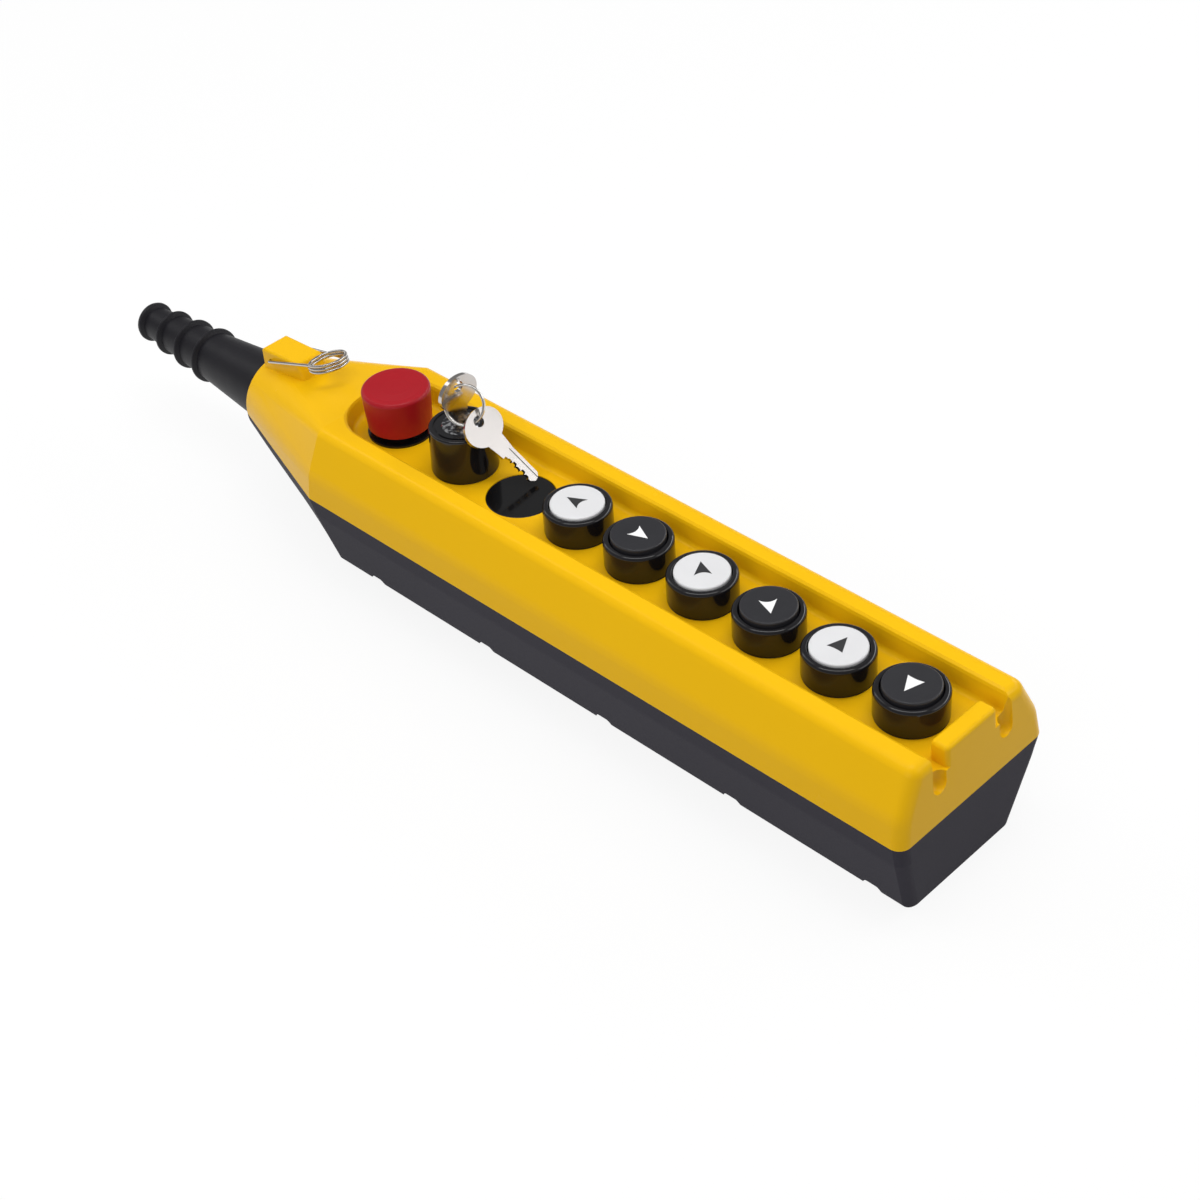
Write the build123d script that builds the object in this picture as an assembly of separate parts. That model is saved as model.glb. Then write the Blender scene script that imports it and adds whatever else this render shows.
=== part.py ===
"""Crane pendant control station: a long hand-held push-button box lying on its back.

Millimetres. X runs along the box and +X is the button end, Y is across, +Z is up
out of the operator side. The origin is the middle of the overall box, on the
surface that the rear casing lies on.
"""

from build123d import *
import math
import os

os.makedirs("parts", exist_ok=True)

# Overall lengths: the straight barrel, the tapered neck and the cable sleeve
barrel_length = 306.0
neck_length = 68.0
sleeve_length = 91.0

# Heights: the split line, the channel floor and the top of the rails
casing_height = 38.5
floor_rise = 19.5
rail_height = 9.0

# Cross-section of the barrel, as half widths
split_half_width = 40.0
cover_bend_half_width = 38.3
cover_bend_rise = 11.0
cover_bend_radius = 16.0
rail_edge_half_width = 29.6
rail_edge_radius = 5.0
casing_bend_half_width = 37.8
casing_bend_drop = 10.0
casing_bend_radius = 30.0
back_half_width = 29.3
back_edge_radius = 2.2

# Draft of the end wall and the rounding round it
cover_end_draft = 2.6
casing_end_draft = 3.8
end_corner_radius = 5.0
plan_margin = 0.4

# Collar at the cable end: a circle round the cable's axis
collar_radius = 17.9
cable_axis_height = 40.0
collar_lip_length = 4.0
neck_steps = 5

# Walls of the two mouldings
side_wall = 3.0
end_wall = 6.0
channel_floor_wall = 4.0
back_wall = 3.0
shell_gap = 0.3

# Operator channel, with its round end about the emergency stop
channel_floor_half_width = 19.6
channel_top_half_width = 22.0
channel_corner_radius = 2.4
channel_lip_radius = 1.6
rail_core_width = 3.0
rail_core_depth = 6.0

# End tab between the two drain slots
tab_half_width = 13.6
tab_thickness = 7.4
tab_top_drop = 0.6
tab_edge_radius = 1.8
drain_groove_radius = 3.6
drain_groove_y = 18.2
drain_groove_depth = 7.5

# Operators along the channel
last_button_setback = 28.0
estop_setback = 15.5
estop_pitch_ratio = 1.203
button_count = 6
operator_pitch = (barrel_length - last_button_setback - estop_setback) / (button_count + 1 + estop_pitch_ratio)
operator_hole_radius = 11.2
thread_radius = 11.0
thread_length = 14.0

# Casing screws
screw_count = 5
first_screw_setback = 24.0
last_screw_setback = 20.0
screw_spacing = (barrel_length - first_screw_setback - last_screw_setback) / (screw_count - 1)
screw_y = 24.8
screw_recess_size = 11.0
screw_recess_corner = 3.5
screw_recess_depth = 8.0
screw_radius = 2.0
screw_head_radius = 3.9
screw_head_height = 2.6
screw_boss_radius = 4.6
screw_engagement = 11.0
thread_clearance = 0.05
pass_clearance = 0.25

# Gasket between the mouldings
gasket_width = 1.4
gasket_height = 1.5
gasket_inset = 0.9
gasket_clearance = 0.1

# Clip boss on the neck and the wire clip that swings in it
boss_half_width = 6.7
boss_front_setback = 3.5
boss_front_top = 68.0
boss_peak_setback = 27.5
boss_peak_top = 69.4
boss_tail_setback = 34.0
boss_edge_radius = 1.6
clip_hole_setback = 8.4
clip_hole_height = 63.5
clip_wire_radius = 0.65
clip_hole_clearance = 0.1
clip_coil_radius = 8.1
clip_coil_turns = 2.5
clip_coil_pitch = 1.42
clip_reach = 33.0
clip_leg_insert = 4.4
clip_corner_radius = 1.3
clip_bend_radius = 12.0
clip_bend_length = 2.6
clip_tilt = 16.0

# Cable sleeve: ribs from the tip towards the collar, each with its own radius
sleeve_bore_radius = 6.5
sleeve_tip_radius = 8.6
sleeve_rib_radii = [9.1, 10.3, 11.4, 12.6]
sleeve_rib_first = 1.8
sleeve_rib_pitch = 14.5
sleeve_rib_width = 3.0
sleeve_rib_step = 2.0
sleeve_root_radius = 15.2
sleeve_throat_radius = 12.8
sleeve_flange_radius = 15.2
sleeve_flange_length = 4.0

# Cable clamp inside the neck
clamp_setback = 33.0
clamp_post_y = 14.0
clamp_post_radius = 4.2
clamp_post_top = 44.0
clamp_bar_width = 9.0
clamp_bar_height = 5.0
clamp_arch_radius = 7.5
clamp_screw_radius = 1.7
clamp_screw_length = 12.0

# Push-buttons
seal_inset = 0.2
seal_height = 0.8
bezel_radius = 13.5
bezel_height = 12.0
bezel_rim_radius = 1.5
bezel_bore_edge = 0.4
bezel_inner_radius = 11.1
bezel_shelf_height = 2.0
bezel_shelf_thickness = 3.0
shank_inner_radius = 8.6
cap_radius = 10.6
white_cap_height = 12.7
black_cap_height = 13.8
cap_edge_radius = 0.7
cap_skirt_wall = 1.5
cap_skirt_gap = 0.4
cap_top_wall = 2.0
button_travel = 4.0
stem_radius = 4.4
stem_clearance = 0.3
pin_radius = 2.0
pin_overlap = 4.0
button_spring_radius = 6.6
button_spring_wire = 0.45
button_spring_turns = 3.0

# Blanking plug over the unused operator hole
plug_radius = 14.0
plug_thickness = 2.0
plug_clearance = 0.15
plug_edge_radius = 0.5

# Nuts under the channel floor
nut_across_flats = 27.0
nut_height = 4.5

# Contact blocks on the casing's floor
block_gap = 4.0
block_width = operator_pitch - block_gap
block_length = 31.0
block_height = 31.0
block_shoulder_height = 21.0
block_core_length = 17.0
block_hole_depth = 11.0
terminal_screw_radius = 2.3
terminal_screw_height = 1.6
terminal_screw_y = 12.0

# Earth post
earth_radius = 4.0
earth_height = 12.0

# Emergency stop
estop_flange_radius = 13.6
estop_flange_height = 0.9
estop_guide_radius = 9.4
estop_guide_height = 10.0
estop_head_radius = 14.2
estop_skirt_radius = 13.2
estop_head_bottom = 4.2
estop_head_top = 21.3
estop_head_edge = 1.7
estop_dish = 0.5
estop_cavity_radius = 10.2
estop_cavity_height = 16.2
estop_travel = 3.0
estop_stem_radius = 5.6
estop_spring_radius = 7.4
estop_spring_wire = 0.6
estop_spring_turns = 4.0
estop_guide_wall = 1.0
estop_guide_clearance = 0.3
estop_collar_height = 8.5
estop_collar_thickness = 2.0
estop_socket_wall = 1.5
estop_socket_depth = 5.0

# Key switch and its lock
key_bezel_foot_radius = 13.6
key_bezel_top_radius = 12.85
key_bezel_height = 20.0
key_bezel_edge = 0.9
key_groove_radius = 11.0
key_groove_width = 0.9
key_groove_depth = 0.5
lock_barrel_radius = 7.6
lock_barrel_rise = 0.5
lock_barrel_length = 32.0
rotor_radius = 5.2
rotor_clearance = 0.05
rotor_length = 28.0
rotor_tail_radius = 2.0

# Keys: an oval bow with a hole, a neck and a bitted blade, along the key from the hole
key_thickness = 1.8
bow_half_width = 9.3
bow_half_height = 7.4
bow_hole_radius = 2.3
bow_centre_from_hole = 3.0
bow_side_offset = 0.6
key_neck_top_width = 8.6
key_neck_width = 6.4
shoulder_from_hole = 16.9
blade_width = 5.0
blade_length = 15.4
blade_tip_length = 1.6
bitting_depths = [0.5, 1.0, 0.4, 1.2, 0.7]
bitting_flat = 0.3
bitting_pitch = 2.3
bitting_count = len(bitting_depths)
bitting_start = 2.4
blade_groove_width = 1.2
blade_groove_depth = 0.4
key_seat_gap = 0.3
key_clearance = 0.15

# Split ring through both bows, and the place of the spare key that hangs on it
ring_radius = 7.98
ring_wire_radius = 0.5
ring_turn_spacing = 0.7
ring_centre_from_lock = (4.30, -0.36, 30.95)
ring_normal = (0.436, -0.782, 0.446)
spare_hole_from_lock = (10.6, 0.2, 25.45)
spare_direction = (0.629, 0.276, -0.727)
spare_across = (-0.152, 0.960, 0.233)

# Places worked out from the sizes above
x_end = (barrel_length + neck_length + sleeve_length) / 2
x_shoulder = x_end - barrel_length
x_collar = x_shoulder - neck_length
x_tip = x_collar - sleeve_length
z_split = casing_height
z_floor = z_split + floor_rise
z_rail = z_floor + rail_height
z_ceiling = z_floor - channel_floor_wall
x_last_button = x_end - last_button_setback
x_buttons = [x_last_button - operator_pitch * (button_count - 1 - i) for i in range(button_count)]
x_plug = x_buttons[0] - operator_pitch
x_key = x_plug - operator_pitch
x_estop = x_shoulder + estop_setback
x_operators = [x_estop, x_key, x_plug] + x_buttons
x_screws = [x_end - last_screw_setback - screw_spacing * i for i in range(screw_count)]
x_clip = x_collar + clip_hole_setback
x_clamp = x_collar + clamp_setback
z_shank_end = z_floor - thread_length
z_block_top = back_wall + block_height


def axial(x, y=0.0, z=0.0):
    """Plane across the box at x, whose own X is the part's Y and own Y is the part's Z."""
    return Plane(origin=(x, y, z), x_dir=(0, 1, 0), z_dir=(1, 0, 0))


def side_view(y=0.0):
    """Plane seen from the side, whose own X is the part's X and own Y is the part's Z."""
    return Plane(origin=(0, y, 0), x_dir=(1, 0, 0), z_dir=(0, -1, 0))


def save(shape, node):
    """Write one node's solids to its STEP file."""
    export_step(shape, "parts/" + node + ".step")


def disc(radius, low, high, x=0.0, y=0.0):
    """Upright cylinder from height low to height high."""
    return Pos(x, y, low) * Cylinder(radius, high - low, align=(Align.CENTER, Align.CENTER, Align.MIN))


def brick(low, high):
    """Box between two corners."""
    size = [b - a for a, b in zip(low, high)]
    return Pos(*low) * Box(*size, align=(Align.MIN, Align.MIN, Align.MIN))


def turned(outline, x=0.0):
    """Solid turned about the upright axis at x from (radius, height) points."""
    face = make_face(Plane.XZ * Polyline(*outline, close=True))
    return Pos(x, 0, 0) * revolve(face, Axis.Z)


def edges_at(shape, axis, low, high):
    """Edges whose centre lies between two places along an axis."""
    return shape.edges().filter_by_position(axis, low, high)


def side_prism(points, half_width):
    """Prism with an outline seen from the side, centred across the box."""
    face = make_face(side_view(half_width) * Polyline(*points, close=True))
    return extrude(face, amount=2 * half_width, dir=(0, -1, 0))


# Cross-sections of the shells


def shell_section(x, half_widths, heights, radii):
    """Mirrored three-step outline: foot, bend and top, with the bend and the top rounded."""
    foot, bend, top = [Vector(w, h) for w, h in zip(half_widths, heights)]
    right = [foot, bend, top]
    left = [Vector(-p.X, p.Y) for p in reversed(right)]
    outline = Polyline(*right, *left, close=True)
    face = make_face(outline)
    bends = [v for v in face.vertices() if abs(v.Y - bend.Y) < 0.001]
    face = fillet(bends, radii[0])
    tops = [v for v in face.vertices() if abs(v.Y - top.Y) < 0.001]
    face = fillet(tops, radii[1])
    return axial(x) * face


def collar_numbers(radius, upward):
    """Octagon about the cable's axis, rounded almost to the full circle."""
    half_side = math.tan(math.radians(22.5))
    reach = radius * half_side
    sign = 1 if upward else -1
    widths = [radius, radius, reach]
    heights = [z_split, cable_axis_height + sign * reach, cable_axis_height + sign * radius]
    foot_room = abs(heights[1] - z_split) / half_side
    return widths, heights, [0.97 * min(radius, foot_room), 0.97 * radius]


def cover_numbers(wall):
    """Barrel outline of the front cover, moved inwards by a wall."""
    widths = [split_half_width - wall, cover_bend_half_width - wall, rail_edge_half_width - 0.6 * wall]
    heights = [z_split, z_split + cover_bend_rise, z_rail - wall]
    return widths, heights, [cover_bend_radius - wall, max(rail_edge_radius - wall, 1.0)]


def casing_numbers(wall, floor):
    """Barrel outline of the rear casing, moved inwards by a wall and a floor."""
    widths = [split_half_width - wall, casing_bend_half_width - wall, back_half_width - wall]
    heights = [z_split, z_split - casing_bend_drop, floor]
    return widths, heights, [casing_bend_radius - wall, back_edge_radius]


def between(a, b, t):
    """Lists of numbers, or lists of such lists, part of the way from a to b."""
    if isinstance(a, (int, float)):
        return a + (b - a) * t
    return [between(p, q, t) for p, q in zip(a, b)]


def shell_block(numbers, collar, x_far, x_near):
    """Straight barrel and tapered neck as one block, between x_near and x_far."""
    sections = []
    for i in range(neck_steps + 1):
        t = i / neck_steps
        sections.append(shell_section(between(x_near, x_shoulder, t), *between(collar, numbers, t)))
    barrel = extrude(sections[-1], amount=x_far - x_shoulder, dir=(1, 0, 0))
    return barrel + loft(sections, ruled=True)


# Front cover


def channel_tool():
    """The recess that the operators stand in, open at the button end."""
    far = x_end + 10

    def slot(half_width, z):
        corner = Vector(x_estop, half_width, z)
        tip = Vector(x_estop - half_width, 0, z)
        back = Vector(x_estop, -half_width, z)
        arc = ThreePointArc(corner, tip, back)
        rest = Polyline(back, (far, -half_width, z), (far, half_width, z), corner)
        return make_face([arc] + list(rest.edges()))

    r = channel_lip_radius
    top = channel_top_half_width
    tool = loft([slot(channel_floor_half_width, z_floor), slot(top, z_rail + 4)], ruled=True)
    flare = loft([slot(top - 1, z_rail - r), slot(top - 0.6, z_rail - 0.4 * r), slot(top + 0.6, z_rail + 0.1)], ruled=True)
    floor_edges = edges_at(tool, Axis.Z, z_floor - 0.01, z_floor + 0.01).filter_by_position(
        Axis.X, x_estop - channel_top_half_width - 1, far - 1
    )
    return fillet(floor_edges, channel_corner_radius) + flare


def clip_boss():
    """Ridge on top of the neck, drilled across for the wire clip."""
    x_front = x_collar + boss_front_setback
    outline = [
        (x_front, cable_axis_height + 12),
        (x_front, boss_front_top),
        (x_collar + boss_peak_setback, boss_peak_top),
        (x_collar + boss_tail_setback, cable_axis_height + 12),
    ]
    ridge = side_prism(outline, boss_half_width)
    upper = [e for e in ridge.edges() if e.center().Z > cable_axis_height + 20]
    return fillet(upper, boss_edge_radius)


def make_front_cover():
    """Yellow moulding: rails, channel, end tab, neck and clip boss."""
    block = shell_block(cover_numbers(0), collar_numbers(collar_radius, True), x_end, x_collar)
    block = block & side_prism(
        [(x_collar - 5, z_split), (x_end, z_split), (x_end - cover_end_draft, z_rail), (x_collar - 5, z_rail)],
        split_half_width + 5,
    )
    rim = [e for e in block.edges() if e.center().X > x_end - cover_end_draft - 0.5 and e.center().Z > z_split + 0.1]
    block = fillet(rim, end_corner_radius)
    block = block + clip_boss()

    hollow = shell_block(
        cover_numbers(side_wall),
        collar_numbers(sleeve_flange_radius + shell_gap, True),
        x_end - end_wall,
        x_collar + collar_lip_length,
    )
    roof = brick((x_shoulder - 40, -split_half_width, z_ceiling), (x_end, split_half_width, z_rail + 5))
    boss_root = brick(
        (x_collar, -boss_half_width, cable_axis_height + sleeve_flange_radius + shell_gap),
        (x_collar + boss_tail_setback, boss_half_width, z_rail + 5),
    )
    hollow = hollow - roof - boss_root
    for side in (-1, 1):
        core_middle = side * (channel_top_half_width + 4.6)
        core = brick(
            (x_shoulder + 4, core_middle - rail_core_width / 2, z_ceiling - 1),
            (x_end - end_wall - 2, core_middle + rail_core_width / 2, z_ceiling + rail_core_depth),
        )
        hollow = hollow + core
    throat = axial(x_collar - 1) * Circle(sleeve_throat_radius + shell_gap)
    throat = extrude(Pos(0, 0, cable_axis_height) * throat, amount=collar_lip_length + 2, dir=(1, 0, 0))
    cover = block - hollow - throat

    cover = cover - channel_tool()
    for x in x_screws:
        for side in (-1, 1):
            post = disc(screw_boss_radius, z_split, z_ceiling + 2, x, side * screw_y)
            cover = cover + (post & block)
            cover = cover - disc(screw_radius + thread_clearance, z_split - 1, z_split + screw_engagement + 1.5,
                                 x, side * screw_y)
    cover = cover + end_tab()
    for side in (-1, 1):
        cover = cover - drain_groove(side)
    for x in x_operators:
        cover = cover - disc(operator_hole_radius, z_ceiling - 3, z_floor + 1, x)
    cover = cover - disc(plug_radius + plug_clearance, z_floor - plug_thickness, z_floor + 1, x_plug)
    hole = Pos(x_clip, 0, clip_hole_height) * Rot(90, 0, 0) * Cylinder(
        clip_wire_radius + clip_hole_clearance, 3 * boss_half_width
    )
    return cover - hole


def end_tab():
    """Low wall across the end of the channel, between the drain slots."""
    x_outer = x_end - cover_end_draft * (z_rail - tab_top_drop - z_split) / (z_rail - z_split)
    outline = [
        (x_outer - tab_thickness, z_floor - 1),
        (x_end - cover_end_draft * (floor_rise - 1) / (z_rail - z_split), z_floor - 1),
        (x_outer, z_rail - tab_top_drop),
        (x_outer - tab_thickness, z_rail - tab_top_drop),
    ]
    tab = side_prism(outline, tab_half_width)
    upper = [e for e in tab.edges() if e.center().Z > z_floor + 1]
    return fillet(upper, tab_edge_radius)


def drain_groove(side):
    """Half-round groove that drains the channel down the end wall."""
    y = side * drain_groove_y
    x_face = x_end - cover_end_draft * (floor_rise - drain_groove_depth) / (z_rail - z_split)
    low = z_floor - drain_groove_depth + drain_groove_radius
    shaft = disc(drain_groove_radius, low, z_rail, x_face, y)
    return shaft + Pos(x_face, y, low) * Sphere(drain_groove_radius)


def make_blanking_plug():
    """Flush disc on a short threaded shank."""
    low = z_floor - plug_thickness
    plate = disc(plug_radius, low, z_floor, x_plug)
    plate = fillet(edges_at(plate, Axis.Z, z_floor - 0.01, z_floor + 0.01), plug_edge_radius)
    shank = disc(thread_radius, z_shank_end, low, x_plug)
    shank = shank - disc(shank_inner_radius, z_shank_end - 1, low - 2, x_plug)
    return plate + shank


# Rear casing and what closes it


def screw_places():
    """Middle of each casing screw."""
    return [(x, side * screw_y) for x in x_screws for side in (-1, 1)]


def split_outline(inset):
    """Plan outline of the split line, moved inwards."""
    w = split_half_width - inset
    c = collar_radius - inset
    outline = Polyline(
        (x_collar, c), (x_shoulder, w), (x_end - inset, w), (x_end - inset, -w), (x_shoulder, -w), (x_collar, -c),
        close=True,
    )
    face = make_face(outline)
    corners = [v for v in face.vertices() if v.X > x_end - inset - 0.01]
    return fillet(corners, end_corner_radius - inset)


def gasket_band(inset, width, low, high):
    """Band that follows the split line, open at the collar."""
    band = Pos(0, 0, low) * (split_outline(inset) - split_outline(inset + width))
    band = extrude(band, amount=high - low)
    collar_side = brick((x_collar - 5, -split_half_width, low - 1),
                        (x_collar + collar_lip_length + 3, split_half_width, high + 1))
    return band - collar_side


def casing_plan(end_inset, side_inset):
    """Envelope whose far end has the casing's draft and its rounded corners."""
    near = x_collar - 5
    sections = []
    widths = [back_half_width, casing_bend_half_width, split_half_width]
    heights = [-1, z_split - casing_bend_drop, z_split + 1]
    for width, z in zip(widths, heights):
        far = x_end - end_inset - casing_end_draft * (z_split - z) / z_split
        w = width + plan_margin - side_inset
        face = make_face(Polyline((near, -w, z), (far, -w, z), (far, w, z), (near, w, z), close=True))
        corners = [v for v in face.vertices() if v.X > far - 0.01]
        sections.append(fillet(corners, end_corner_radius + plan_margin - 0.5 * end_inset))
    return loft(sections, ruled=True)


def make_rear_casing():
    """Charcoal moulding with the screw recesses, screw posts and cable clamp posts."""
    block = shell_block(casing_numbers(0, 0), collar_numbers(collar_radius, False), x_end + 5, x_collar)
    block = block & casing_plan(0, 0)

    hollow = shell_block(
        casing_numbers(side_wall, back_wall),
        collar_numbers(sleeve_flange_radius + shell_gap, False),
        x_end,
        x_collar + collar_lip_length,
    )
    hollow = hollow & casing_plan(end_wall, side_wall)
    throat = Pos(x_collar - 1, 0, cable_axis_height) * Rot(0, 90, 0) * Cylinder(
        sleeve_throat_radius + shell_gap, collar_lip_length + 2, align=(Align.CENTER, Align.CENTER, Align.MIN)
    )
    casing = block - hollow - throat
    for x, y in screw_places():
        pad_size = screw_recess_size + 2 * back_wall
        pad = extrude(Pos(x, y, 0) * RectangleRounded(pad_size, pad_size, screw_recess_corner + back_wall),
                      amount=screw_recess_depth + back_wall)
        post = disc(screw_boss_radius, 0, z_split, x, y)
        casing = casing + ((pad + post) & block)
        recess = Pos(x, y, -1) * RectangleRounded(screw_recess_size, screw_recess_size, screw_recess_corner)
        casing = casing - extrude(recess, amount=screw_recess_depth + 1)
        casing = casing - disc(screw_radius + pass_clearance, 0, z_split + 1, x, y)
    for side in (-1, 1):
        post = disc(clamp_post_radius, 0, z_split, x_clamp, side * clamp_post_y) & block
        post = post + disc(clamp_post_radius, z_split - 1, clamp_post_top, x_clamp, side * clamp_post_y)
        casing = casing + post
        casing = casing - disc(clamp_screw_radius + thread_clearance, clamp_post_top - clamp_screw_length, z_rail,
                               x_clamp, side * clamp_post_y)
    groove = gasket_band(gasket_inset, gasket_width + 2 * gasket_clearance, z_split - gasket_height, z_split + 1)
    return casing - groove


def make_casing_screws():
    """Ten pan-head screws, driven from the back into the cover's posts."""
    screws = []
    for x, y in screw_places():
        head = disc(screw_head_radius, screw_recess_depth - screw_head_height, screw_recess_depth, x, y)
        shank = disc(screw_radius, screw_recess_depth, z_split + screw_engagement, x, y)
        screws.append(head + shank)
    return Compound(screws)


def make_cable_clamp():
    """Saddle bar across the cable, arched underneath, and its two screws."""
    low = clamp_post_top
    bar = brick((x_clamp - clamp_bar_width / 2, -clamp_post_y - clamp_post_radius, low),
                (x_clamp + clamp_bar_width / 2, clamp_post_y + clamp_post_radius, low + clamp_bar_height))
    arch = Pos(x_clamp, 0, cable_axis_height) * Rot(0, 90, 0) * Cylinder(clamp_arch_radius, clamp_bar_width + 2)
    bar = bar - arch
    screws = []
    for side in (-1, 1):
        y = side * clamp_post_y
        bar = bar - disc(clamp_screw_radius + pass_clearance, low - 1, low + clamp_bar_height + 1, x_clamp, y)
        head = disc(2 * clamp_screw_radius, low + clamp_bar_height, low + clamp_bar_height + 2, x_clamp, y)
        shank = disc(clamp_screw_radius, low - clamp_screw_length + 1, low + clamp_bar_height, x_clamp, y)
        screws.append(head + shank)
    return bar, Compound(screws)


def make_cable_sleeve():
    """Rubber sleeve with raised ribs and a flange trapped inside the collar."""
    root = x_collar
    points = [(x_tip, sleeve_bore_radius), (x_tip, sleeve_tip_radius)]
    for i, radius in enumerate(sleeve_rib_radii):
        middle = x_tip + sleeve_rib_first + sleeve_rib_pitch * i
        start = middle - sleeve_rib_width / 2
        end = middle + sleeve_rib_width / 2
        if i > 0:
            points.append((start, radius - sleeve_rib_step))
        points.append((middle - sleeve_rib_width / 5, radius))
        points.append((middle + sleeve_rib_width / 5, radius))
        points.append((end, radius - 0.85 * sleeve_rib_step))
    points += [
        (root - shell_gap, sleeve_root_radius),
        (root - shell_gap, sleeve_throat_radius),
        (root + collar_lip_length + shell_gap, sleeve_throat_radius),
        (root + collar_lip_length + shell_gap, sleeve_flange_radius),
        (root + collar_lip_length + shell_gap + sleeve_flange_length, sleeve_flange_radius),
        (root + collar_lip_length + shell_gap + sleeve_flange_length, sleeve_bore_radius),
    ]
    face = make_face(side_view() * Polyline(*points, close=True))
    sleeve = revolve(face, Axis.X)
    sleeve = sleeve.moved(Location((0, 0, cable_axis_height)))
    crests = [
        e for e in sleeve.edges().filter_by(GeomType.CIRCLE)
        if any(abs(e.radius - r) < 0.01 for r in sleeve_rib_radii)
    ]
    return fillet(crests, sleeve_rib_width / 6)


def make_suspension_clip():
    """Spring-wire clip: two legs, wound together in a coil that makes the eye."""
    half = clip_coil_pitch * clip_coil_turns / 2
    slope = clip_coil_pitch / (2 * math.pi * clip_coil_radius)
    r = clip_coil_radius
    pin_end = boss_half_width - clip_leg_insert
    coil = Rot(0, 0, 90) * Helix(clip_coil_pitch, 2 * half, r, center=(0, 0, -half), lefthand=True)
    coil = Pos(clip_reach, 0, 0) * coil
    near = FilletPolyline(
        (clip_reach, -r, half),
        (clip_reach - clip_bend_length, -r, half + clip_bend_length * slope),
        (0, -r, 0),
        (0, -pin_end, 0),
        radius=(clip_bend_radius, clip_corner_radius),
    )
    far = FilletPolyline(
        (0, pin_end, 0),
        (0, r, 0),
        (clip_reach - clip_bend_length, r, -half - clip_bend_length * slope),
        (clip_reach, r, -half),
        radius=(clip_corner_radius, clip_bend_radius),
    )
    path = Wire(list(far.edges()) + list(coil.edges()) + list(near.edges()))
    start = Plane(origin=(0, pin_end, 0), z_dir=(0, 1, 0))
    clip = sweep(start * Circle(clip_wire_radius), path=path)
    return Pos(x_clip, 0, clip_hole_height) * Rot(0, -clip_tilt, 0) * clip


# Operators in the channel


def spring(radius, wire, turns, low, high, x):
    """Compression spring between two heights."""
    rise = high - low - 2 * wire
    path = Helix(rise / turns, rise, radius)
    start = Plane(origin=path @ 0, z_dir=path % 0)
    coil = sweep(start * RegularPolygon(wire, 6), path=path)
    return Pos(x, 0, low + wire) * coil


def make_bezel(x):
    """Black surround of a push-button, with the threaded shank under it."""
    seat = z_floor + seal_height
    top = z_floor + bezel_height
    shelf = z_floor + bezel_shelf_height
    bore = stem_radius + stem_clearance
    bezel = turned([
        (shank_inner_radius, z_shank_end), (thread_radius, z_shank_end), (thread_radius, seat),
        (bezel_radius, seat), (bezel_radius, top), (bezel_inner_radius, top), (bezel_inner_radius, shelf),
        (bore, shelf), (bore, shelf - bezel_shelf_thickness), (shank_inner_radius, shelf - bezel_shelf_thickness),
    ])
    outer = [e for e in edges_at(bezel, Axis.Z, top - 0.01, top + 0.01) if e.radius > bezel_radius - 0.1]
    bezel = fillet(outer, bezel_rim_radius)
    inner = [e for e in edges_at(bezel, Axis.Z, top - 0.01, top + 0.01) if e.radius < bezel_inner_radius + 0.1]
    return Pos(x, 0, 0) * fillet(inner, bezel_bore_edge)


def make_cap(x, height):
    """Push-button cap with its skirt, stem and contact pin in one moulding."""
    top = z_floor + height
    skirt = z_floor + bezel_shelf_height + button_travel + cap_skirt_gap
    stem_end = z_block_top + button_travel + cap_skirt_gap
    cap = turned([
        (0, top), (cap_radius, top), (cap_radius, skirt), (cap_radius - cap_skirt_wall, skirt),
        (cap_radius - cap_skirt_wall, top - cap_top_wall), (stem_radius, top - cap_top_wall),
        (stem_radius, stem_end), (pin_radius, stem_end), (pin_radius, z_block_top - pin_overlap),
        (0, z_block_top - pin_overlap),
    ])
    rim = edges_at(cap, Axis.Z, top - 0.01, top + 0.01)
    return Pos(x, 0, 0) * fillet(rim, cap_edge_radius)


def make_cap_spring(x, height):
    """Return spring between the bezel's shelf and the cap."""
    low = z_floor + bezel_shelf_height
    high = z_floor + height - cap_top_wall
    return spring(button_spring_radius, button_spring_wire, button_spring_turns, low, high, x)


def make_contact_block(x):
    """Switch element on the casing's floor, with stepped shoulders for its terminals."""
    foot = brick((x - block_width / 2, -block_length / 2, back_wall),
                 (x + block_width / 2, block_length / 2, back_wall + block_shoulder_height))
    core = brick((x - block_width / 2, -block_core_length / 2, back_wall),
                 (x + block_width / 2, block_core_length / 2, z_block_top))
    hole = disc(pin_radius + pass_clearance, z_block_top - block_hole_depth, z_block_top + 1, x)
    return foot + core - hole


def make_terminal_screws():
    """Clamp screws on the shoulders of every contact block."""
    low = back_wall + block_shoulder_height
    heads = []
    for x in [x_estop, x_key] + x_buttons:
        for side in (-1, 1):
            heads.append(disc(terminal_screw_radius, low, low + terminal_screw_height, x, side * terminal_screw_y))
    return Compound(heads)


def make_operator_seals():
    """Flat rubber rings under the key switch and the push-buttons."""
    rings = []
    for x in [x_key] + x_buttons:
        rings.append(disc(bezel_radius - seal_inset, z_floor, z_floor + seal_height, x)
                     - disc(thread_radius + thread_clearance, z_floor - 1, z_floor + seal_height + 1, x))
    return Compound(rings)


def make_retaining_nuts():
    """Hexagon nuts that hold the operators from inside the cover."""
    nuts = []
    for x in x_operators:
        hexagon = Pos(x, 0, z_ceiling - nut_height) * RegularPolygon(nut_across_flats / math.sqrt(3), 6, rotation=30)
        nut = extrude(hexagon, amount=nut_height)
        nuts.append(nut - disc(thread_radius + thread_clearance, z_ceiling - nut_height - 1, z_ceiling + 1, x))
    return Compound(nuts)


# Emergency stop


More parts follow.
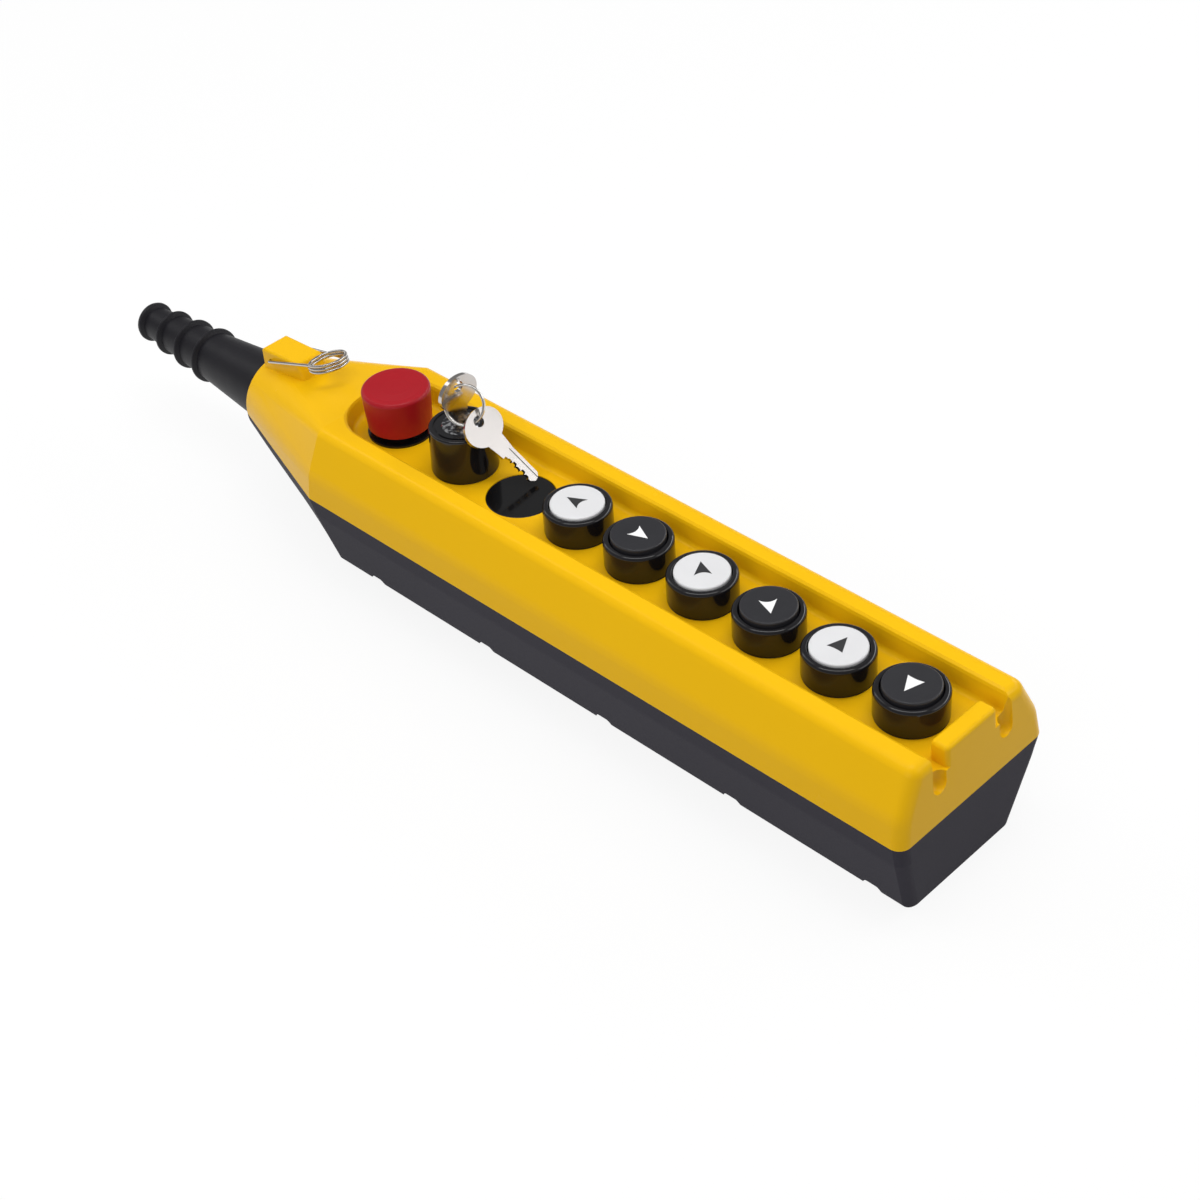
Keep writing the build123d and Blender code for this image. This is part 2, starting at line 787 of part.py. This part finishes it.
def make_estop_base():
    """Black flange with the guide tube above it and the threaded shank below."""
    flange_top = z_floor + estop_flange_height
    guide_top = z_floor + estop_guide_height
    inner = estop_guide_radius - estop_guide_wall
    shelf = z_floor - bezel_shelf_height
    bore = estop_stem_radius + stem_clearance
    return turned([
        (shank_inner_radius, z_shank_end), (thread_radius, z_shank_end), (thread_radius, z_floor),
        (estop_flange_radius, z_floor), (estop_flange_radius, flange_top), (estop_guide_radius, flange_top),
        (estop_guide_radius, guide_top), (inner, guide_top), (inner, shelf), (bore, shelf),
        (bore, shelf - bezel_shelf_thickness), (shank_inner_radius, shelf - bezel_shelf_thickness),
    ], x_estop)


def make_estop_plunger():
    """Stem with the collar that its spring lifts, and the contact pin below."""
    top = z_floor + estop_cavity_height
    collar_radius_here = estop_guide_radius - estop_guide_wall - estop_guide_clearance
    collar_top = z_floor + estop_collar_height
    collar_low = collar_top - estop_collar_thickness
    stem_end = z_block_top + estop_travel + cap_skirt_gap
    r = estop_stem_radius
    return turned([
        (0, top), (r, top), (r, collar_top), (collar_radius_here, collar_top), (collar_radius_here, collar_low),
        (r, collar_low), (r, stem_end), (pin_radius, stem_end), (pin_radius, z_block_top - pin_overlap),
        (0, z_block_top - pin_overlap),
    ], x_estop)


def make_estop_cap():
    """Red mushroom head, slightly dished, with a socket for the stem."""
    top = z_floor + estop_head_top
    low = z_floor + estop_head_bottom
    ceiling = z_floor + estop_cavity_height
    socket = estop_stem_radius + stem_clearance
    head = turned([
        (0, ceiling), (socket, ceiling), (socket, ceiling - estop_socket_depth),
        (socket + estop_socket_wall, ceiling - estop_socket_depth), (socket + estop_socket_wall, ceiling),
        (estop_cavity_radius, ceiling), (estop_cavity_radius, low), (estop_skirt_radius, low),
        (estop_head_radius, top), (0.76 * estop_head_radius, top),
        (0.4 * estop_head_radius, top - 0.75 * estop_dish), (0, top - estop_dish),
    ])
    rim = [e for e in edges_at(head, Axis.Z, top - 0.01, top + 0.01) if e.radius > estop_head_radius - 0.1]
    return Pos(x_estop, 0, 0) * fillet(rim, estop_head_edge)


def make_estop_spring():
    """Spring between the flange's shelf and the stem's collar."""
    low = z_floor - bezel_shelf_height
    high = z_floor + estop_collar_height - estop_collar_thickness
    return spring(estop_spring_radius - estop_spring_wire, estop_spring_wire, estop_spring_turns, low, high, x_estop)


# Key switch


def make_key_bezel():
    """Tall black surround of the lock, with a groove near its rim."""
    seat = z_floor + seal_height
    top = z_floor + key_bezel_height
    bore = lock_barrel_radius + 0.1
    bezel = turned([
        (bore, z_shank_end), (thread_radius, z_shank_end), (thread_radius, seat), (key_bezel_foot_radius, seat),
        (key_bezel_top_radius, top), (bore, top),
    ])
    rim = [e for e in edges_at(bezel, Axis.Z, top - 0.01, top + 0.01) if e.radius > bore + 1]
    bezel = fillet(rim, key_bezel_edge)
    groove = disc(key_groove_radius, top - key_groove_depth, top + 1)
    groove = groove - disc(key_groove_radius - key_groove_width, top - key_groove_depth - 1, top + 2)
    return Pos(x_key, 0, 0) * (bezel - groove)


def make_lock_barrel():
    """Bright lock body that the rotor turns in."""
    top = z_floor + key_bezel_height + lock_barrel_rise
    barrel = disc(lock_barrel_radius, top - lock_barrel_length, top, x_key)
    barrel = barrel - disc(rotor_radius + rotor_clearance, top - lock_barrel_length - 1, top + 1, x_key)
    rim = [e for e in edges_at(barrel, Axis.Z, top - 0.01, top + 0.01) if e.radius > lock_barrel_radius - 0.1]
    return chamfer(rim, 0.4)


def blade_y():
    """Middle of the blade across the lock."""
    return (key_neck_width - blade_width) / 2


def make_lock_rotor():
    """Turning plug with the key slot and the tail that works the contacts."""
    top = z_floor + key_bezel_height + lock_barrel_rise
    rotor = disc(rotor_radius, top - rotor_length, top, x_key)
    tail = disc(rotor_tail_radius, z_block_top - pin_overlap, top - rotor_length, x_key)
    slot_y = blade_width / 2 + key_clearance
    slot_x = key_thickness / 2 + key_clearance
    slot = brick((x_key - slot_x, blade_y() - slot_y, top + key_seat_gap - blade_length - 2 * key_seat_gap),
                 (x_key + slot_x, blade_y() + slot_y, top + 1))
    return rotor + tail - slot


def key_blank():
    """Key in its own plane: the hole at the origin and the tip along -Y."""
    neck_middle = -bow_side_offset
    bow = Pos(0, -bow_centre_from_hole) * Ellipse(bow_half_width, bow_half_height)
    shoulder = -shoulder_from_hole
    neck_start = -bow_centre_from_hole - 0.75 * bow_half_height
    neck = make_face(Polyline(
        (neck_middle - key_neck_top_width / 2, neck_start), (neck_middle + key_neck_top_width / 2, neck_start),
        (neck_middle + key_neck_width / 2, shoulder), (neck_middle - key_neck_width / 2, shoulder), close=True,
    ))
    blade_middle = neck_middle + blade_y()
    right = blade_middle + blade_width / 2
    left = blade_middle - blade_width / 2
    tip = shoulder - blade_length
    points = [(left, shoulder + 1), (right, shoulder + 1), (right, tip + blade_tip_length),
              (right - blade_tip_length, tip), (left + blade_tip_length, tip), (left, tip + blade_tip_length)]
    for i, depth in enumerate(reversed(bitting_depths)):
        y = shoulder - bitting_start - bitting_pitch * (bitting_count - 1 - i)
        flat = bitting_flat * bitting_pitch
        points += [(left, y - 0.48 * bitting_pitch), (left + depth, y - flat), (left + depth, y + flat),
                   (left, y + 0.48 * bitting_pitch)]
    blade = make_face(Polyline(*points, close=True))
    outline = bow + neck + blade - Circle(bow_hole_radius)
    plate = extrude(outline, amount=key_thickness / 2, both=True)
    groove_x = blade_middle + 0.6
    for side in (-1, 1):
        z = side * key_thickness / 2
        groove = Pos(groove_x, (shoulder + tip) / 2, z) * Box(blade_groove_width, blade_length + 2,
                                                             2 * blade_groove_depth)
        plate = plate - groove
    return plate


def make_switch_key():
    """Key standing in the lock, its shoulder just above the rotor's face."""
    z_hole = z_floor + key_bezel_height + lock_barrel_rise + key_seat_gap + shoulder_from_hole
    place = Plane(origin=(x_key, bow_side_offset, z_hole), x_dir=(0, 1, 0), z_dir=(1, 0, 0))
    return place.location * key_blank()


def make_spare_key():
    """Second key of the pair, hanging on the ring with its tip over the blanking plug."""
    along = Vector(*spare_direction).normalized()
    across = Vector(*spare_across)
    across = (across - along * across.dot(along)).normalized()
    lock = Vector(x_key, 0, z_floor)
    place = Plane(origin=lock + Vector(*spare_hole_from_lock), x_dir=across, z_dir=along.cross(across))
    return place.location * key_blank()


def make_key_ring():
    """Split ring of two touching turns through the bows of both keys."""
    lock = Vector(x_key, 0, z_floor)
    place = Plane(origin=lock + Vector(*ring_centre_from_lock), z_dir=Vector(*ring_normal))
    turn = Torus(ring_radius, ring_wire_radius)
    half = ring_turn_spacing / 2
    return place.location * (Pos(0, 0, half) * turn + Pos(0, 0, -half) * turn)


def make_earth_terminal():
    """Brass earth post on the casing's floor, under the unused operator hole."""
    post = disc(earth_radius, back_wall, back_wall + earth_height, x_plug)
    return post - disc(earth_radius / 2, back_wall + earth_height / 2, z_split, x_plug)


save(make_front_cover(), "front_cover")
save(make_rear_casing(), "rear_casing")
save(gasket_band(gasket_inset + gasket_clearance, gasket_width, z_split - gasket_height, z_split), "cover_gasket")
save(make_casing_screws(), "casing_screws")
clamp_bar, clamp_screws = make_cable_clamp()
save(clamp_bar, "cable_clamp")
save(clamp_screws, "clamp_screws")
save(make_earth_terminal(), "earth_terminal")
save(make_cable_sleeve(), "cable_sleeve")
save(make_suspension_clip(), "suspension_clip")

save(make_operator_seals(), "operator_seals")
save(make_retaining_nuts(), "retaining_nuts")
save(make_terminal_screws(), "terminal_screws")
save(make_blanking_plug(), "blanking_plug")

save(make_estop_base(), "estop_base")
save(make_estop_plunger(), "estop_plunger")
save(make_estop_cap(), "estop_cap")
save(make_estop_spring(), "estop_spring")
save(make_contact_block(x_estop), "estop_contact_block")

save(make_key_bezel(), "key_bezel")
save(make_lock_barrel(), "lock_barrel")
save(make_lock_rotor(), "lock_rotor")
save(make_contact_block(x_key), "key_contact_block")
save(make_switch_key(), "switch_key")
save(make_key_ring(), "key_ring")
save(make_spare_key(), "spare_key")

for i, x in enumerate(x_buttons):
    number = "_" + str(i + 1)
    height = white_cap_height if i % 2 == 0 else black_cap_height
    save(make_bezel(x), "button_bezel" + number)
    save(make_cap(x, height), "button_cap" + number)
    save(make_cap_spring(x, height), "button_spring" + number)
    save(make_contact_block(x), "contact_block" + number)
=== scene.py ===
import math

import bmesh
import bpy
from mathutils import Matrix, Vector


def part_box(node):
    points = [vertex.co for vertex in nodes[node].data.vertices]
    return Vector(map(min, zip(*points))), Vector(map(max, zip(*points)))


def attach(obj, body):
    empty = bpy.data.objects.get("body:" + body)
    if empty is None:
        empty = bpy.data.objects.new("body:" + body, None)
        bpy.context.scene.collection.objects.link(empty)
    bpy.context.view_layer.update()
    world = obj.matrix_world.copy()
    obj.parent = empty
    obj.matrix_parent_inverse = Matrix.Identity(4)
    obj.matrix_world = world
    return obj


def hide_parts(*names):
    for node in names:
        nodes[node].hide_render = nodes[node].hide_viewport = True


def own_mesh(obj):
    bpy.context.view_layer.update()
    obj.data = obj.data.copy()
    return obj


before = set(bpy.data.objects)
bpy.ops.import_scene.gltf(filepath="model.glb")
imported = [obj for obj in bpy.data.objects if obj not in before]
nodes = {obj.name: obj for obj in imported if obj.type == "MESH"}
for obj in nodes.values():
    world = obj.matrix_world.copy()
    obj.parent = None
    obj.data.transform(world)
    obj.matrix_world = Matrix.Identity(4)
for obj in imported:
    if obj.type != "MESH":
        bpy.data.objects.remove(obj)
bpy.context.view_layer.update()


class Shade:
    """One socket of a material, so that shader maths reads as plain sums."""

    def __init__(self, tree, socket=None):
        self.tree = tree
        self.socket = socket

    def node(self, kind, settings=None, inputs=None, output=0):
        """Adds a node with its settings and inputs; returns one of its outputs."""
        made = self.tree.nodes.new(kind)
        for key, value in (settings or {}).items():
            setattr(made, key, value)
        for key, value in (inputs or {}).items():
            if isinstance(value, Shade):
                self.tree.links.new(value.socket, made.inputs[key])
            else:
                made.inputs[key].default_value = value
        return Shade(self.tree, made.outputs[output])

    def sum(self, operation, a, b):
        """One step of shader maths; a and b are sockets or plain numbers."""
        return self.node("ShaderNodeMath", {"operation": operation}, {0: a, 1: b})

    def __add__(self, other):
        return self.sum("ADD", self, other)

    def __radd__(self, other):
        return self.sum("ADD", other, self)

    def __sub__(self, other):
        return self.sum("SUBTRACT", self, other)

    def __rsub__(self, other):
        return self.sum("SUBTRACT", other, self)

    def __mul__(self, other):
        return self.sum("MULTIPLY", self, other)

    def __rmul__(self, other):
        return self.sum("MULTIPLY", other, self)

    @classmethod
    def on(cls, names, material_name):
        """A new material on the named CAD nodes; its place is a point in metres."""
        material = bpy.data.materials.new(material_name)
        material.use_nodes = True
        for name in names:
            slots = nodes[name].data.materials
            slots.clear()
            slots.append(material)
        start = cls(material.node_tree)
        start.material = material
        start.place = start.node("ShaderNodeTexCoord", output="Object")
        return start

    def noise(self, scale, detail=3.0):
        """Noise from 0 to 1; scale counts its cells in a metre."""
        inputs = {"Vector": self.place, "Scale": scale, "Detail": detail}
        return self.node("ShaderNodeTexNoise", {}, inputs, "Fac")

    def mix(self, factor, a, b):
        """Two colours mixed by a factor, through the node's sockets for colours."""
        inputs = {0: factor, 6: (*a, 1.0), 7: (*b, 1.0)}
        return self.node("ShaderNodeMix", {"data_type": "RGBA"}, inputs, 2)

    def bump(self, height, distance, strength):
        """A normal raised by a height from 0 to 1; distance is in metres."""
        inputs = {"Height": height, "Distance": distance, "Strength": strength}
        return self.node("ShaderNodeBump", {}, inputs)

    def surface(self, **inputs):
        """Fills in the Principled BSDF; names are its sockets', with underscores."""
        shader = self.tree.nodes["Principled BSDF"]
        for key, value in inputs.items():
            slot = shader.inputs[key.replace("_", " ")]
            if isinstance(value, Shade):
                self.tree.links.new(value.socket, slot)
            elif isinstance(value, tuple):
                slot.default_value = (*value, 1.0)
            else:
                slot.default_value = value
        return self.material


yellow = Shade.on(["front_cover"], "yellow moulding")
tone = yellow.noise(9.0)
peel = yellow.noise(900.0, 2.0)
yellow.surface(
    Base_Color=yellow.mix(tone, (0.775, 0.432, 0.0035), (0.825, 0.472, 0.0055)),
    Roughness=0.20 + yellow.noise(60.0) * 0.10,
    Normal=yellow.bump(peel, 0.00002, 0.35),
    Specular_IOR_Level=0.09,
    Coat_Weight=0.04,
    Coat_Roughness=0.08,
)

# Rear casing: the charcoal half of the housing, fine spark-eroded texture, with
# the screw recesses along its back edges.
charcoal = Shade.on(["rear_casing"], "charcoal moulding")
grain = charcoal.noise(2600.0, 2.0)
charcoal.surface(
    Base_Color=charcoal.mix(
        charcoal.noise(14.0), (0.0215, 0.0192, 0.0285), (0.0310, 0.0283, 0.0395)
    ),
    Roughness=0.50 + grain * 0.16,
    Specular_IOR_Level=0.08,
    Normal=charcoal.bump(grain, 0.00004, 0.55),
)

# Cable sleeve: black rubber boot with four ribs, its flange trapped in the collar
# of the neck.
rubber = Shade.on(["cable_sleeve"], "sleeve rubber")
skin = rubber.noise(1500.0, 2.0)
rubber.surface(
    Base_Color=rubber.mix(rubber.noise(22.0), (0.0060, 0.0056, 0.0078), (0.0120, 0.0114, 0.0148)),
    Roughness=0.42 + rubber.noise(90.0) * 0.16,
    Specular_IOR_Level=0.28,
    Normal=rubber.bump(skin, 0.00004, 0.4),
)

# Gasket and operator seals: soft black sealing rubber in the split line and under
# the operators.
seal = Shade.on(["cover_gasket", "operator_seals"], "sealing rubber")
seal.surface(
    Base_Color=seal.mix(seal.noise(180.0), (0.010, 0.010, 0.011), (0.020, 0.020, 0.021)),
    Roughness=0.62 + seal.noise(700.0) * 0.2,
)

# Suspension clip: spring wire, bright plated, wound into the eye and hooked into
# the cross hole of the neck's ridge.
clip = Shade.on(["suspension_clip"], "plated spring wire")
clip.surface(
    Base_Color=clip.mix(clip.noise(300.0), (0.50, 0.475, 0.445), (0.62, 0.595, 0.565)),
    Metallic=1.0,
    Roughness=0.06 + clip.noise(900.0) * 0.10,
)

# Screws: zinc-plated steel, dull and slightly mottled, in the casing, the cable
# clamp and the terminals.
zinc = Shade.on(["casing_screws", "clamp_screws", "terminal_screws"], "zinc-plated steel")
zinc.surface(
    Base_Color=zinc.mix(zinc.noise(420.0), (0.46, 0.47, 0.49), (0.60, 0.61, 0.63)),
    Metallic=1.0,
    Roughness=0.30 + zinc.noise(1300.0) * 0.2,
)

# Cable clamp and earth post inside the housing: a dark nylon saddle and a turned
# brass post.
saddle = Shade.on(["cable_clamp"], "clamp nylon")
saddle.surface(
    Base_Color=saddle.mix(saddle.noise(200.0), (0.040, 0.040, 0.044), (0.060, 0.060, 0.065)),
    Roughness=0.48 + saddle.noise(900.0) * 0.12,
)
brass = Shade.on(["earth_terminal"], "turned brass")
brass.surface(
    Base_Color=brass.mix(brass.noise(260.0), (0.62, 0.42, 0.14), (0.74, 0.54, 0.22)),
    Metallic=1.0,
    Roughness=0.28 + brass.noise(1200.0) * 0.15,
)

# Contact blocks: grey switch elements, one under each operator, on the floor of the
# casing.
buttons = range(1, 7)
block_names = ["estop_contact_block", "key_contact_block"]
block_names += ["contact_block_%d" % i for i in buttons]
block = Shade.on(block_names, "switch element plastic")
block.surface(
    Base_Color=block.mix(block.noise(120.0), (0.24, 0.26, 0.27), (0.30, 0.32, 0.33)),
    Roughness=0.50 + block.noise(1100.0) * 0.14,
)

# Springs of the operators: drawn steel wire. A copy of each takes the part's place on the
# housing; the share of its length left after its operator's travel is worked out but not applied.
stop_travel, button_travel = 0.003, 0.004
spring_travels = {"estop_spring": ("estop_press", stop_travel)}
for i in buttons:
    spring_travels["button_spring_%d" % i] = ("button_%d_press" % i, button_travel)
wire = Shade.on(list(spring_travels), "drawn spring wire")
wire.surface(
    Base_Color=wire.mix(wire.noise(500.0), (0.40, 0.41, 0.43), (0.52, 0.53, 0.55)),
    Metallic=1.0,
    Roughness=0.26 + wire.noise(1500.0) * 0.14,
)
for name, (joint, travel) in spring_travels.items():
    low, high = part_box(name)
    length = high.z - low.z
    coil = bpy.data.objects.new("moving_" + name, nodes[name].data.copy())
    coil.matrix_world = nodes[name].matrix_world
    bpy.context.scene.collection.objects.link(coil)
    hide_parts(name)
    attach(coil, "housing")
    (length - travel) / length
    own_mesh(coil)

# Black operator parts: glossy nylon surrounds, nuts, base and plunger, and the
# blanking plug in a darker polish.
black_names = ["retaining_nuts", "estop_base", "estop_plunger", "key_bezel"]
black_names += ["button_bezel_%d" % i for i in buttons]
black = Shade.on(black_names, "glossy black nylon")
black.surface(
    Base_Color=black.mix(black.noise(70.0), (0.0050, 0.0048, 0.0058), (0.0095, 0.0090, 0.0110)),
    Roughness=0.09 + black.noise(420.0) * 0.04,
    Specular_IOR_Level=0.50,
    Normal=black.bump(black.noise(500.0, 1.0), 0.00001, 0.06),
)
plug = Shade.on(["blanking_plug"], "polished black nylon")
plug.surface(
    Base_Color=plug.mix(plug.noise(70.0), (0.0030, 0.0030, 0.0034), (0.0060, 0.0060, 0.0066)),
    Roughness=0.07 + plug.noise(300.0) * 0.08,
    Specular_IOR_Level=0.34,
    Coat_Weight=0.2,
    Coat_Roughness=0.04,
)

# Emergency stop: red mushroom head, a satin moulding with a faint grain, on the
# black base and plunger.
red = Shade.on(["estop_cap"], "emergency red")
red.surface(
    Base_Color=red.mix(red.noise(40.0), (0.310, 0.0050, 0.0110), (0.365, 0.0072, 0.0145)),
    Roughness=0.30 + red.noise(300.0) * 0.13,
    Specular_IOR_Level=0.26,
    Normal=red.bump(red.noise(1000.0, 2.0), 0.000015, 0.3),
)

# Lock: chromed barrel and rotor face, with painted reflections: bright and dark blotches in its
# colour round the key slot.
lock = Shade.on(["lock_barrel", "lock_rotor"], "lock chrome")
painted_reflections = lock.noise(650.0, 1.0) * 5.0 - 2.2
lock.surface(
    # The base colour carries painted reflections: noise patches running from dark to bright
    # chrome.
    Base_Color=lock.mix(painted_reflections, (0.10, 0.10, 0.11), (0.74, 0.74, 0.76)),
    Metallic=1.0,
    Roughness=0.10 + lock.noise(1600.0) * 0.1,
)

# Split ring: bright plated spring steel, two turns side by side, through the bows
# of both keys.
split_ring = Shade.on(["key_ring"], "bright ring plate")
split_ring.surface(
    Base_Color=split_ring.mix(split_ring.noise(260.0), (0.64, 0.625, 0.60), (0.76, 0.745, 0.72)),
    Metallic=1.0,
    Roughness=0.06 + split_ring.noise(900.0) * 0.10,
)

# Keys: nickel-plated steel, stamped and polished. One is in the lock, the spare
# hangs on the ring.
nickel = Shade.on(["switch_key", "spare_key"], "polished nickel plate")
nickel.surface(
    Base_Color=nickel.mix(nickel.noise(150.0), (0.54, 0.515, 0.500), (0.62, 0.590, 0.570)),
    Metallic=1.0,
    Roughness=0.10 + nickel.noise(1100.0) * 0.12,
    Normal=nickel.bump(nickel.noise(700.0, 2.0), 0.00001, 0.15),
)

# Push-button caps: white and black in turn, each with a printed arrowhead. The
# arrows are thin printed films on the caps and ride with them. Their headings are in
# degrees from +X: along the station, askew and across it.
headings = (184.8, -1.4, 138.5, -41.0, 94.0, -84.0)
deeply_notched = (1, 2, 3, 4)
for i, heading in zip(buttons, headings):
    name = "button_cap_%d" % i
    is_white = i % 2 == 1
    cap = Shade.on([name], "white cap" if is_white else "black cap")
    if is_white:
        dark, light = (0.62, 0.62, 0.63), (0.68, 0.68, 0.69)
    else:
        dark, light = (0.0150, 0.0150, 0.0180), (0.0220, 0.0220, 0.0260)
    cap.surface(
        Base_Color=cap.mix(cap.noise(90.0), dark, light),
        Roughness=0.30 + cap.noise(400.0) * 0.14,
        Normal=cap.bump(cap.noise(1300.0, 2.0), 0.00001, 0.3),
    )

    low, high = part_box(name)
    middle = Vector(((low.x + high.x) / 2, (low.y + high.y) / 2, high.z))
    tip, tail, half_base = 0.0051, -0.0026, 0.0033
    hollow = 0.0013 if i in deeply_notched else 0.0004
    tail_steps = 8
    outline = [Vector((tip, 0, 0))]
    for step in range(tail_steps + 1):
        t = step / tail_steps
        across = half_base * (1 - 2 * t)
        outline.append(Vector((tail + hollow * 4 * t * (1 - t), across, 0)))
    film_top, film_bottom = 0.00006, 0.00001
    mesh = bmesh.new()
    for level in (film_top, film_bottom):
        ring = [mesh.verts.new(p + Vector((0, 0, level))) for p in outline]
        mesh.faces.new(ring if level == film_top else ring[::-1])
    mesh.verts.ensure_lookup_table()
    count = len(outline)
    for k in range(count):
        n = (k + 1) % count
        around = (n, k, count + k, count + n)
        mesh.faces.new([mesh.verts[at] for at in around])
    mesh.transform(Matrix.Translation(middle) @ Matrix.Rotation(math.radians(heading), 4, "Z"))
    data = bpy.data.meshes.new("arrow_%d" % i)
    mesh.to_mesh(data)
    mesh.free()
    arrow = bpy.data.objects.new("arrow_%d" % i, data)
    bpy.context.scene.collection.objects.link(arrow)
    ink = bpy.data.materials.new("arrow ink %d" % i)
    ink.use_nodes = True
    data.materials.append(ink)
    film = Shade(ink.node_tree)
    film.material = ink
    film.place = film.node("ShaderNodeTexCoord", output="Object")
    if is_white:
        dark, light = (0.020, 0.020, 0.022), (0.030, 0.030, 0.033)
    else:
        dark, light = (0.78, 0.78, 0.78), (0.84, 0.84, 0.84)
    film.surface(
        Base_Color=film.mix(film.noise(600.0), dark, light),
        Roughness=0.42 + film.noise(900.0) * 0.1,
    )
    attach(arrow, "button_%d" % i)

# Floor: a white sheet for the camera, for gloss and for glass, that keeps the
# object's shadow and fades into plain white with distance. All other light meets a
# grey paper, so that little of it is thrown back up.
half, below = 20.0, 0.0002
floor_mesh = bpy.data.meshes.new("floor")
corners = [(-half, -half, 0), (half, -half, 0), (half, half, 0), (-half, half, 0)]
floor_mesh.from_pydata(corners, [], [(0, 1, 2, 3)])
floor = bpy.data.objects.new("floor", floor_mesh)
floor.location = (0, 0, -below)
bpy.context.scene.collection.objects.link(floor)
ground = bpy.data.materials.new("studio floor")
ground.use_nodes = True
floor_mesh.materials.append(ground)
ground.node_tree.nodes.remove(ground.node_tree.nodes["Principled BSDF"])
base = Shade(ground.node_tree)
camera_ray = base.node("ShaderNodeLightPath", output="Is Camera Ray")
glossy_ray = base.node("ShaderNodeLightPath", output="Is Glossy Ray")
glass_ray = base.node("ShaderNodeLightPath", output="Is Transmission Ray")
shown = camera_ray + glossy_ray + glass_ray
paper = base.node("ShaderNodeBsdfDiffuse", {}, {"Color": (0.42, 0.42, 0.42, 1.0)})
sheet = base.node("ShaderNodeBsdfDiffuse", {}, {"Color": (0.85, 0.85, 0.85, 1.0)})
glow = base.node("ShaderNodeEmission", {}, {"Color": (1.0, 1.0, 1.0, 1.0), "Strength": 1.0})
place = base.node("ShaderNodeTexCoord", output="Object")
away = base.node("ShaderNodeVectorMath", {"operation": "LENGTH"}, {0: place}, "Value")
whiteness = away * 0.10 + 0.86
lit = base.node("ShaderNodeMixShader", {}, {0: whiteness, 1: sheet, 2: glow})
mixed = base.node("ShaderNodeMixShader", {}, {0: shown, 1: paper, 2: lit})
base.tree.links.new(mixed.socket, base.tree.nodes["Material Output"].inputs["Surface"])

# World: white where the camera sees it, and a weaker, even light for everything
# else.
world = bpy.data.worlds.new("studio")
world.use_nodes = True
background = world.node_tree.nodes["Background"]
background.inputs["Color"].default_value = (1.0, 1.0, 1.0, 1.0)
sky = Shade(world.node_tree)
open_view = sky.node("ShaderNodeLightPath", output="Is Camera Ray")
strength = 0.28 + open_view * 0.72
world.node_tree.links.new(strength.socket, background.inputs["Strength"])
bpy.context.scene.world = world

# Lamps: the large ones only light, the strips and the glint are also mirrored in
# gloss and chrome. All point at the frame's origin; power is in watts.
for name, place, size, power, mirrored in (
    ("overhead", (0.02, 0.35, 1.20), (1.2, 0.9), 5.9, False),
    ("left fill", (-0.95, -0.55, 0.75), (0.9, 0.9), 4.1, False),
    ("near fill", (0.35, -0.95, 0.60), (0.9, 0.6), 4.2, False),
    ("back strip", (0.35, 0.85, 0.55), (1.1, 0.22), 3.0, True),
    ("left strip", (-0.75, -0.10, 0.75), (0.22, 0.9), 1.1, True),
    ("edge strip", (0.08, -0.08, 1.15), (1.0, 0.22), 3.3, True),
    ("key glint", (0.89, 0.37, 0.60), (0.45, 0.45), 0.8, True),
):
    lamp = bpy.data.lights.new(name, "AREA")
    lamp.shape = "RECTANGLE"
    lamp.size, lamp.size_y = size
    lamp.energy = power
    light = bpy.data.objects.new(name, lamp)
    light.location = place
    light.rotation_euler = (-Vector(place)).to_track_quat("-Z", "Y").to_euler()
    light.visible_glossy = mirrored
    bpy.context.scene.collection.objects.link(light)

# Camera: solved from the edges of the box and the circles of the buttons in the
# photograph. The three vectors are the picture's right, down and into the view.
lens = bpy.data.cameras.new("camera")
lens.lens = 67.063
lens.sensor_width = 36.0
lens.clip_start = 0.01
camera = bpy.data.objects.new("camera", lens)
right = Vector((0.71302, 0.69819, -0.06428))
down = Vector((0.41218, -0.49156, -0.76712))
forward = Vector((-0.56719, 0.52048, -0.63828))
turn = Matrix((right, -down, -forward)).transposed()
camera.matrix_world = Matrix.Translation((0.54564, -0.45236, 0.58137)) @ turn.to_4x4()
bpy.context.scene.collection.objects.link(camera)
bpy.context.scene.camera = camera
bpy.context.scene.view_settings.view_transform = "Standard"
